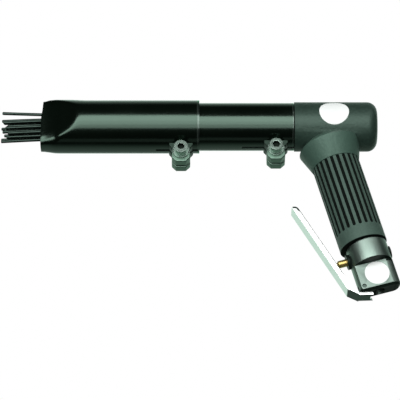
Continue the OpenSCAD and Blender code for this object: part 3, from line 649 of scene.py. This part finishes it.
def softened(node, finish, slot, width, degrees=32, segments=2, shape=None):
    """A copy of a CAD node with its edges rounded, in place of the node; shape may work on the copy first"""
    source = frame["nodes"][node]
    work = bmesh.new()
    work.from_mesh(source.data)
    bmesh.ops.remove_doubles(work, verts=work.verts, dist=WELD)
    bmesh.ops.dissolve_limit(
        work, angle_limit=FLAT, verts=work.verts, edges=work.edges, delimit={"NORMAL"})
    if shape:
        shape(work)
    mesh = bpy.data.meshes.new(node + "_soft")
    work.to_mesh(mesh)
    work.free()
    smooth(mesh, degrees=34)
    piece = new_piece(node + "_soft", mesh, source["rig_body"], slot, finish, node)
    bevel(piece, width, degrees, segments)
    return piece


def second_finish(piece, finish, chosen):
    """Gives a second finish to the faces that are chosen"""
    piece.data.materials.append(bpy.data.materials[finish])
    for face in piece.data.polygons:
        face.material_index = int(chosen(face))


def paint(node, finish):
    """Gives a CAD node that stays its finish"""
    target = frame["nodes"][node]
    target.data.materials.clear()
    target.data.materials.append(bpy.data.materials[finish])


def angles(count):
    """Angles spread evenly over a full turn"""
    return [2 * math.pi * k / count for k in range(count)]


def loft(rows, close=True):
    """A mesh through rows of points, and its rings; close joins the ends of each row"""
    work = bmesh.new()
    rings = [[work.verts.new(p) for p in row] for row in rows]
    count = len(rings[0])
    for first, second in zip(rings, rings[1:]):
        for i in range(count if close else count - 1):
            j = (i + 1) % count
            work.faces.new((first[i], first[j], second[j], second[i]))
    return work, rings


def solid(rows):
    """A closed mesh through rows of points, with a face at each end"""
    work, rings = loft(rows)
    work.faces.new(rings[0])
    work.faces.new(rings[-1])
    bmesh.ops.recalc_face_normals(work, faces=work.faces)
    return work


def fade(value, low, high):
    """Goes smoothly from 0 at low to 1 at high"""
    t = min(1.0, max(0.0, (value - low) / (high - low)))
    return t * t * (3 - 2 * t)


def nose_reach(sizes):
    """Half width of the pressed nose at a distance from its mouth: an arc that runs out at the full tube"""
    rise = sizes.nose_radius - sizes.nose_half
    chord = math.hypot(sizes.nose_length, rise)
    die = chord / (2 * math.sin(math.atan2(rise, sizes.nose_length) - sizes.nose_angle))
    crown = die * 0.999

    def half(u):
        across = min(u + die * math.sin(sizes.nose_angle), crown)
        return sizes.nose_half + die * math.cos(sizes.nose_angle) - math.sqrt(die * die - across * across)

    return half


def pressed_nose(sizes):
    """What pressing does to the mouth of the front tube: the shift and the radius at a point of the tube

    Each form has its depth and the distances from the mouth between which it comes or goes.
    """
    radius, slant, half = sizes.nose_radius, sizes.facet_slant, nose_reach(sizes)
    # The sides drawn in, the slanted facets below them, and how these clear the round tube
    pinch, pinch_run = 1.5 * MM, (0, 24 * MM)
    facet, facet_run = 1.7 * MM, (14 * MM, 20 * MM)
    clear, clear_run = 0.3 * radius, (13 * MM, 30 * MM)
    # The upper edge set back and drawn in, the bulge behind it, and the raised lower lip
    rake, rake_run = 2.4 * MM, (0, 18 * MM)
    brow, brow_run = 1.6 * MM, (0, 7 * MM)
    bulge, bulge_start, bulge_run = 0.8 * MM, (4 * MM, 16 * MM), (26 * MM, 44 * MM)
    lip, lip_run = 1.3 * MM, (2 * MM, 15 * MM)
    crispness, least = 30, 1e-3

    def press(u, y, z):
        top, bottom = max(0.0, z) ** 3, max(0.0, -z) ** 3
        shift = rake * top * (1 - fade(u, *rake_run))
        out = radius + bulge * top * fade(u, *bulge_start) * (1 - fade(u, *bulge_run))
        out -= brow * top * (1 - fade(u, *brow_run)) + lip * bottom * (1 - fade(u, *lip_run))
        wide = half(u) - pinch * (1 - fade(u, *pinch_run))
        limits = [out, wide / max(abs(y), least)]
        if z < 0:
            corner = min(math.asin(min(1.0, wide / radius)), math.pi / 2 - slant)
            edge = radius * math.sin(corner + slant) + clear * fade(u, *clear_run)
            edge -= facet * (1 - fade(u, *facet_run))
            limits.append(edge / (abs(y) * math.cos(slant) - z * math.sin(slant)))
        return shift, out * sum((limit / out) ** -crispness for limit in limits) ** (-1 / crispness)

    return press


def tube_shell(low_x, high_x, axis_z, radius, slit_width, slit_length, press=None):
    """Tube surface along X, open at a slit below its rear end; press may shape its mouth"""
    slit = math.asin(slit_width / 2 / radius)
    turns, steps = 120, 90
    around = [math.pi + slit + (2 * math.pi - 2 * slit) * i / turns for i in range(turns + 1)]
    length = high_x - low_x
    slit_start = length - slit_length
    stations = sorted({length * i / steps for i in range(steps + 1)} | {slit_start})
    rows = []
    for u in stations:
        row = []
        for a in around:
            y, z = math.sin(a), math.cos(a)
            shift, r = press(u, y, z) if press else (0.0, radius)
            row.append(Vector((low_x + u + shift, r * y, axis_z + r * z)))
        rows.append(row)
    work, rings = loft(rows, close=False)
    for first, second, u in zip(rings, rings[1:], stations):
        if u < slit_start - NEAR:
            work.faces.new((first[-1], first[0], second[0], second[-1]))
    bmesh.ops.recalc_face_normals(work, faces=work.faces)
    probe = next(iter(work.faces))
    middle = probe.calc_center_median()
    if probe.normal.dot(middle - Vector((middle.x, 0, axis_z))) < 0:
        bmesh.ops.reverse_faces(work, faces=work.faces)
    return work


def clamp_ear(sizes, x, tube_radius, axis_z, side):
    """One welded clamp ear: flared at the tube, with chamfered lower corners"""
    foot = tube_radius + sizes.screw_drop + sizes.ear_margin
    flare = tube_radius + sizes.screw_drop / 2
    # The root reaches into the wall of the round tube
    weld = tube_radius * 0.86
    half = [
        (sizes.ear_root / 2, -weld),
        (sizes.ear_root / 2, -tube_radius),
        (sizes.ear_width / 2, -flare),
        (sizes.ear_width / 2, sizes.ear_chamfer - foot),
        (sizes.ear_width / 2 - sizes.ear_chamfer, -foot),
    ]
    outline = half + [(-a, b) for a, b in reversed(half)]
    inner = side * sizes.slit_width / 2
    outer = side * (sizes.slit_width / 2 + sizes.ear_thickness)
    return solid([[Vector((x + a, y, axis_z + b)) for a, b in outline] for y in (inner, outer)])


def wound_wire(start, forward, across, radius, wire, length, turns):
    """A round wire wound along a helix, with closed ends"""
    side = forward.cross(across)
    steps, sides = 40 * turns, 12
    rows = []
    for i in range(steps + 1):
        t = i / steps
        a = 2 * math.pi * turns * t
        out = across * math.cos(a) + side * math.sin(a)
        centre = start + out * radius + forward * (wire / 2 + (length - wire) * t)
        ways = [out * math.cos(b) + forward * math.sin(b) for b in angles(sides)]
        rows.append([centre + way * (wire / 2) for way in ways])
    return solid(rows)


class SCALER_OT_tubes(bpy.types.Operator):
    """Lofts the two tubes with their welded clamp ears"""

    bl_idname = "scaler.tubes"
    bl_label = "Tubes"

    def execute(self, context):
        sizes = settings(context)[0]
        finishes(context)
        axis_z = barrel_height(sizes)
        for name, node, body, low, high, radius, wall, slit, press in (
            ("nose_tube", "front_tube", "nose_tube", NOSE_LOW.x, NOSE_HIGH.x, sizes.nose_radius,
             sizes.nose_wall, sizes.nose_slit, pressed_nose(sizes)),
            ("rear_tube_shell", "rear_tube", "housing", REAR_LOW.x, REAR_HIGH.x, sizes.rear_radius,
             sizes.rear_wall, sizes.rear_slit, None),
        ):
            shell = tube_shell(low, high, axis_z, radius, sizes.slit_width, slit, press)
            tube = built(name, [shell], body, "tube_black", "tube enamel", node, degrees=50)
            thick = tube.modifiers.new("wall", "SOLIDIFY")
            thick.thickness = wall
            thick.offset = -1
            # Almost half the wall, so that the rims are round
            bevel(tube, 0.44 * wall, degrees=50, segments=4)
            pair = [clamp_ear(sizes, high - sizes.clamp_set, radius, axis_z, side) for side in (-1, 1)]
            ears = built(name + "_ears", pair, body, "tube_black", "ear steel", degrees=30)
            bevel(ears, 0.8 * MM, degrees=25, segments=3)
        return {"FINISHED"}


class SCALER_OT_needles(bpy.types.Operator):
    """Makes the needles: drawn wires, slightly bowed, with rounded tips"""

    bl_idname = "scaler.needles"
    bl_label = "Needles"

    def execute(self, context):
        sizes = settings(context)[0]
        finishes(context)
        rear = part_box("needles")[1].x
        places = self.places(sizes.needle_pitch)
        works = [self.needle(sizes, rear, i, *place) for i, place in enumerate(places)]
        built("needle_bundle", works, "needle_set", "needle_steel", "needle wire", "needles", degrees=35)
        return {"FINISHED"}

    @staticmethod
    def places(pitch):
        """Height and offset of each needle in the hexagonal pattern of the holder"""
        spots = [(0.0, 0.0)]
        for far, start in ((pitch, 0), (2 * pitch, 0), (math.sqrt(3) * pitch, 30)):
            for i in range(6):
                turn = math.radians(60 * i + start)
                spots.append((far * math.cos(turn), far * math.sin(turn)))
        return spots

    @staticmethod
    def profile(sizes, length):
        """Distance from the rear end and radius along one needle: its head, its shank and its tip"""
        neck, end, steps = sizes.needle_head_length, length - 0.9 * MM, 24
        shank = [(neck + (end - neck) * k / steps, sizes.needle_radius) for k in range(steps + 1)]
        head = [(0.0, sizes.needle_head), (neck - 0.1 * MM, sizes.needle_head)]
        tip = [(length - 0.3 * MM, 0.9 * sizes.needle_radius), (length, 0.6 * sizes.needle_radius)]
        return head + shank + tip

    def needle(self, sizes, rear, i, up, aside):
        """One needle: the nose draws it in and spreads it in height, and it bows and droops by a rule"""
        axis_z = barrel_height(sizes)
        reach, sides, bow_end = rear - NOSE_LOW.x, 16, 1.3
        # Uneven turns, so that neighbouring needles end and bow differently
        short = sizes.needle_stagger * (0.5 + 0.5 * math.sin(math.radians(137 * i)))
        bow = sizes.needle_bow * math.sin(2.4 * i)
        topmost = up > 1.9 * sizes.needle_pitch
        drift = sizes.needle_lift if topmost else -sizes.needle_droop
        rows = []
        for along, radius in self.profile(sizes, sizes.needle_length - short):
            t = along / reach
            y = aside * (1 - sizes.needle_squeeze * t) + bow * math.sin(math.pi * min(t, bow_end))
            z = axis_z + up * (1 + sizes.needle_spread * t) + drift * t * t
            centre = Vector((rear - along, y, z))
            rows.append([centre + Vector((0, math.cos(b), math.sin(b))) * radius for b in angles(sides)])
        return solid(rows)


class SCALER_OT_handle(bpy.types.Operator):
    """Finishes the head, the neck and the ribbed grip"""

    bl_idname = "scaler.handle"
    bl_label = "Handle"

    def execute(self, context):
        finishes(context)
        softened("handle_housing", "casting paint", "black_casting", 0.5 * MM, degrees=30, segments=3)
        softened("grip_sleeve", "grip moulding", "grip_rubber", 0.4 * MM, degrees=40, segments=3)
        return {"FINISHED"}


class SCALER_OT_throttle(bpy.types.Operator):
    """Finishes the throttle body, the lever, the button and the plug"""

    bl_idname = "scaler.throttle"
    bl_label = "Throttle"

    def execute(self, context):
        finishes(context)
        sizes = settings(context)[0]
        axis = handle_axis(sizes)
        body = softened(
            "throttle_body", "turned alloy", "throttle_alloy", 0.5 * MM, segments=3,
            shape=lambda work: self.round_flats(work, sizes, axis))
        # Painted shade: faces that look down the handle take the near black finish
        second_finish(body, "blackened steel and painted shade", lambda face: face.normal.dot(axis) < -0.15)
        lever = softened("throttle_lever", "lever plating", "lever_steel", 0.6 * MM, degrees=28, segments=3)
        # Painted shade: faces of the lever that look down the handle take the dark foot metal
        second_finish(lever, "worn foot", lambda face: face.normal.dot(axis) < -0.5)
        softened("throttle_button", "brass", "brass", 0.5 * MM, degrees=30, segments=3)
        softened("button_bush", "blackened steel and painted shade", "black_steel", 0.4 * MM)
        softened("valve_plug", "blackened steel and painted shade", "black_steel", 0.5 * MM)
        softened("lever_pin", "worn foot", "fastener_steel", 0.4 * MM)
        return {"FINISHED"}

    @staticmethod
    def round_flats(work, sizes, axis):
        """Rounds the rear edges of the two flats into the back of the throttle body"""
        rear = Vector((axis.z, 0, -axis.x))
        start, top = sizes.body_round_x, sizes.body_round_top
        margin, roundness = 10 * NEAR, 1.6
        edge = math.sqrt(sizes.body_radius ** 2 - sizes.body_flat ** 2)
        full = math.atan2(sizes.body_flat, edge)
        kept = sizes.body_round_angle
        end = sizes.body_shift + edge
        reach = sizes.body_shift + sizes.body_radius * math.cos(kept)
        cuts = [(rear * (start + share * (end - start)), rear) for share in (0.0, 0.35, 0.7)]
        for point, normal in [*cuts, (axis * top, axis)]:
            geometry = [*work.verts, *work.edges, *work.faces]
            bmesh.ops.bisect_plane(work, geom=geometry, plane_co=point, plane_no=normal, dist=NEAR)
        for vert in work.verts:
            x, y, height = vert.co.dot(rear), vert.co.y, vert.co.dot(axis)
            if x < start + margin or height > top + margin or abs(y) < NEAR:
                continue
            out = math.hypot(x - sizes.body_shift, y)
            turn = math.atan2(abs(y), x - sizes.body_shift)
            on_back = out > sizes.body_radius - 0.05 * MM
            between_flats = abs(y) < sizes.body_flat * 0.7
            if on_back or between_flats:
                turn *= kept / full
                new_x, new_y = sizes.body_shift + out * math.cos(turn), out * math.sin(turn)
            else:
                t = (x - start) / (end - start)
                drop = (sizes.body_flat - sizes.body_radius * math.sin(kept)) * t ** roundness
                new_x, new_y = start + t * (reach - start), abs(y) - drop
            vert.co = rear * new_x + axis * height + Vector((0, math.copysign(new_y, y), 0))


class SCALER_OT_fasteners(bpy.types.Operator):
    """Finishes the clamp screws, nuts and washers"""

    bl_idname = "scaler.fasteners"
    bl_label = "Fasteners"

    def execute(self, context):
        finishes(context)
        for end in ("rear", "front"):
            screw = softened(end + "_clamp_screw", "zinc plate", "fastener_steel", 0.5 * MM, segments=3)
            self.paint_socket_shade(screw, end + "_clamp_screw")
            softened(end + "_clamp_nut", "zinc plate", "fastener_steel", 0.5 * MM)
            softened(end + "_clamp_washer", "zinc plate", "fastener_steel", 0.25 * MM)
        return {"FINISHED"}

    @staticmethod
    def paint_socket_shade(screw, node):
        """Paints shade inside the socket of a screw whose head points to -Y: the faces there take the near
        black finish
        """
        low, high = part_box(node)
        middle = (low + high) / 2
        socket_radius, socket_mouth, socket_floor = 3.4 * MM, 0.3 * MM, 4.2 * MM

        def in_socket(face):
            off = math.hypot(face.center.x - middle.x, face.center.z - middle.z)
            return off < socket_radius and socket_mouth < face.center.y - low.y < socket_floor

        # Painted shade: the socket's inner faces take the near black finish
        second_finish(screw, "blackened steel and painted shade", in_socket)


class SCALER_OT_plates(bpy.types.Operator):
    """Lays the bare oval plate on the head and the bare round plate on the throttle body"""

    bl_idname = "scaler.plates"
    bl_label = "Bare plates"

    def execute(self, context):
        sizes = settings(context)[0]
        finishes(context)
        axis_z = barrel_height(sizes)
        out = sizes.head_radius
        up = handle_axis(sizes)
        rear = Vector((up.z, 0, -up.x))

        def on_head(a, b, lift):
            turn = (sizes.head_plate_rise + b) / out
            y, z = -(out + lift) * math.cos(turn), axis_z + (out + lift) * math.sin(turn)
            return Vector((sizes.head_plate_x + a, y, z))

        def on_flat(a, b, lift):
            spot = rear * (sizes.body_plate_x + a) + up * (sizes.body_plate_height + b)
            return spot + Vector((0, sizes.plate_recess - sizes.body_flat - lift, 0))

        head = self.disc(sizes.head_plate, lift=0.3 * MM, place=on_head)
        built("head_plate", [head], "housing", "black_casting", "white enamel", degrees=40)
        body = self.disc(sizes.body_plate, lift=0.28 * MM, place=on_flat)
        built("throttle_plate", [body], "housing", "throttle_alloy", "white enamel", degrees=40)
        return {"FINISHED"}

    @staticmethod
    def disc(radius, lift, place):
        """A thin round plate with a rounded rim, laid on a surface"""
        face = [(share, 1) for share in (0.04, 0.3, 0.6, 0.85, 0.965)]
        rim = [(0.99, 0.8), (1.0, 0.3), (1.0, -0.6)]
        rows = []
        for share, rise in face + rim:
            out = radius * share
            rows.append([place(out * math.cos(t), out * math.sin(t), lift * rise) for t in angles(72)])
        return solid(rows)


class SCALER_OT_springs(bpy.types.Operator):
    """Winds the return spring and the valve spring"""

    bl_idname = "scaler.springs"
    bl_label = "Springs"

    def execute(self, context):
        sizes = settings(context)[0]
        finishes(context)
        self.return_spring(sizes)
        self.valve_spring(sizes)
        return {"FINISHED"}

    @staticmethod
    def return_spring(sizes):
        """Spring of the needle set, which stands on its seat in front and is pressed from behind"""
        low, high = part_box("return_spring")
        axis_z = barrel_height(sizes)
        forward, up = Vector((-1, 0, 0)), Vector((0, 0, 1))
        radius = (high.y - low.y - sizes.return_wire) / 2
        work = wound_wire(
            Vector((high.x, 0, axis_z)), forward, up, radius, sizes.return_wire, high.x - low.x,
            sizes.return_turns)
        spring = built(
            "needle_return_spring", [work], "housing", "spring_steel", "spring wire", "return_spring",
            degrees=60)
        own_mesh(spring)

    @staticmethod
    def valve_spring(sizes):
        """Spring of the throttle valve, square to the handle, which stands on the plug at the rear"""
        low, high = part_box("throttle_spring")
        wide = high.y - low.y
        up = handle_axis(sizes)
        rear = Vector((up.z, 0, -up.x))
        length = (high.x - low.x - wide * math.sin(sizes.lean)) / math.cos(sizes.lean)
        middle = (low + high) / 2
        work = wound_wire(
            middle - rear * (length / 2), rear, Vector((0, 1, 0)), (wide - sizes.valve_wire) / 2,
            sizes.valve_wire, length, sizes.valve_turns)
        spring = built(
            "valve_return_spring", [work], "housing", "spring_steel", "spring wire", "throttle_spring",
            degrees=60)
        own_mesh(spring)


class SCALER_OT_inner_pieces(bpy.types.Operator):
    """Finishes the pieces inside the tool"""

    bl_idname = "scaler.inner_pieces"
    bl_label = "Inner pieces"

    def execute(self, context):
        finishes(context)
        for finish, nodes in (
            ("machined steel", (
                "valve_seat_plate", "valve_disc", "valve_cap", "piston", "anvil", "spring_seat")),
            ("blackened steel and painted shade", ("cylinder", "needle_holder")),
            ("seal rubber", ("handle_seal", "button_seal")),
            ("brass", ("inlet_strainer", "throttle_valve")),
        ):
            for node in nodes:
                paint(node, finish)
        return {"FINISHED"}


class SCALER_OT_stage(bpy.types.Operator):
    """Sets the floor, the soft lights, the white surroundings and the camera"""

    bl_idname = "scaler.stage"
    bl_label = "Stage"

    def execute(self, context):
        stage = settings(context)[2]
        context.scene.view_settings.view_transform = "Standard"
        self.floor(stage)
        self.surroundings(context.scene, stage)
        target = Vector(stage.target)
        # Half width and the lower and upper edge in degrees; the last is whether gloss shows the softbox
        for name, azimuth, half_width, low, high, radiance, mirrored in (
            ("key", stage.azimuth, 33, 0, 25, stage.key, True),
            ("middle", stage.middle_azimuth, 33, -17, 0, stage.middle, True),
            ("fill", stage.azimuth, 33, -32, -17, stage.fill, True),
            ("side", stage.side_azimuth, 16, 30, 50, stage.side, True),
            ("back", math.pi, 33, 5, 50, stage.back, False),
        ):
            self.softbox(name, target, azimuth, half_width, low, high, radiance, mirrored)
        self.camera(context.scene, stage, target)
        return {"FINISHED"}

    @staticmethod
    def camera(scene, stage, target):
        """A camera at the photograph's viewing angle"""
        eye = target + stage.distance * Vector((0, -math.cos(stage.elevation), math.sin(stage.elevation)))
        camera = bpy.data.objects.new("camera", bpy.data.cameras.new("camera"))
        camera.data.lens = stage.lens
        camera.data.sensor_width = 36
        camera.data.clip_end = 50
        camera.location = eye
        camera.rotation_euler = (target - eye).to_track_quat("-Z", "Y").to_euler()
        scene.collection.objects.link(camera)
        scene.camera = camera

    @staticmethod
    def softbox(name, target, azimuth, half_width, low, high, radiance, mirrored):
        """A soft light that spans two elevations, in degrees, as the object sees it"""
        distance = 1.5
        lamp = bpy.data.lights.new(name, "AREA")
        lamp.shape = "RECTANGLE"
        lamp.size = 2 * distance * math.tan(math.radians(half_width))
        lamp.size_y = 2 * distance * math.tan(math.radians((high - low) / 2))
        lamp.energy = radiance * math.pi * lamp.size * lamp.size_y
        light = bpy.data.objects.new(name, lamp)
        rise = math.radians((high + low) / 2)
        away = Vector((math.sin(azimuth), -math.cos(azimuth), 0)) * math.cos(rise)
        away.z = math.sin(rise)
        light.location = target + distance * away
        light.rotation_euler = (-away).to_track_quat("-Z", "Y").to_euler()
        light.visible_camera = False
        light.visible_glossy = mirrored
        bpy.context.scene.collection.objects.link(light)

    @staticmethod
    def floor(stage):
        """A plain pale floor that stays pale to the camera and gives metal only a faint glow"""
        glint = 0.04
        work = bmesh.new()
        bmesh.ops.create_grid(work, x_segments=8, y_segments=8, size=stage.floor_half)
        bmesh.ops.translate(work, verts=work.verts, vec=(stage.target[0], 0, stage.floor))
        mesh = bpy.data.meshes.new("floor")
        work.to_mesh(mesh)
        work.free()
        finish = Finish("floor paper").set(Roughness=0.9, Emission_Strength=1.0)
        cloud = finish.noise(3, detail=3)
        finish.drive("Base Color", cloud.mix((0.80, 0.80, 0.80, 1), (0.84, 0.84, 0.84, 1)))
        seen, gloss = cloud.rays()
        glow = seen + gloss * glint
        finish.drive("Emission Color", glow.mix((0, 0, 0, 1), (0.86, 0.87, 0.86, 1)))
        mesh.materials.append(finish.material)
        piece = bpy.data.objects.new("floor", mesh)
        bpy.context.scene.collection.objects.link(piece)

    @staticmethod
    def surroundings(scene, stage):
        """White to the camera; to gloss, a dark room with a pale sheet behind the object and above it"""
        dark = 0.012
        world = bpy.data.worlds.new("studio")
        scene.world = world
        world.use_nodes = True
        tree = world.node_tree
        background = tree.nodes["Background"]
        spot = tree.nodes.new("ShaderNodeTexCoord")
        way = Field(tree, spot.outputs["Generated"])
        back = way.add("ShaderNodeSeparateXYZ", None, {"Vector": way}, output=1)
        up = way.add("ShaderNodeSeparateXYZ", None, {"Vector": way}, output=2)
        # A sheet behind the object, brighter above the horizon, and a dimmer one overhead
        behind = back.ramp(0.25, 0.75) * (0.34 + 0.60 * up.ramp(-0.05, 0.2))
        above = 0.35 * up.ramp(0.5, 0.9) * back.ramp(-0.1, 0.3)
        seen, gloss = way.rays()
        level = gloss * (dark + 0.98 * (behind + above)) + (1 - gloss) * stage.room
        strength = seen + (1 - seen) * level
        tree.links.new(strength.socket, background.inputs["Strength"])
        tint = seen.mix((0.78, 1.0, 0.87, 1), (1, 1, 1, 1))
        tree.links.new(tint.socket, background.inputs["Color"])


class SCALER_PT_panel(bpy.types.Panel):
    """Lists the pieces of the needle scaler"""

    bl_label = "Needle scaler"
    bl_idname = "SCALER_PT_panel"
    bl_space_type = "VIEW_3D"
    bl_region_type = "UI"
    bl_category = "Scaler"

    def draw(self, context):
        for kind in STEPS:
            self.layout.operator(kind.bl_idname)
        for group in settings(context):
            box = self.layout.box()
            for name in group.__annotations__:
                box.prop(group, name)


STEPS = (
    SCALER_OT_stage,
    SCALER_OT_tubes,
    SCALER_OT_needles,
    SCALER_OT_handle,
    SCALER_OT_throttle,
    SCALER_OT_fasteners,
    SCALER_OT_plates,
    SCALER_OT_springs,
    SCALER_OT_inner_pieces,
)
GROUPS = {"scaler_sizes": ScalerSizes, "scaler_colours": ScalerColours, "scaler_stage": ScalerStage}


def register():
    """Registers the classes and gives the scene its three groups of settings"""
    for kind in (*GROUPS.values(), *STEPS, SCALER_PT_panel):
        bpy.utils.register_class(kind)
    for name, kind in GROUPS.items():
        setattr(bpy.types.Scene, name, PointerProperty(type=kind))


def unregister():
    """Takes back what register did"""
    for name in GROUPS:
        delattr(bpy.types.Scene, name)
    for kind in (SCALER_PT_panel, *reversed(STEPS), *GROUPS.values()):
        bpy.utils.unregister_class(kind)


def main():
    """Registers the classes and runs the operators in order"""
    register()
    for kind in STEPS:
        family, step = kind.bl_idname.split(".")
        getattr(getattr(bpy.ops, family), step)()


if __name__ == "__main__":
    main()
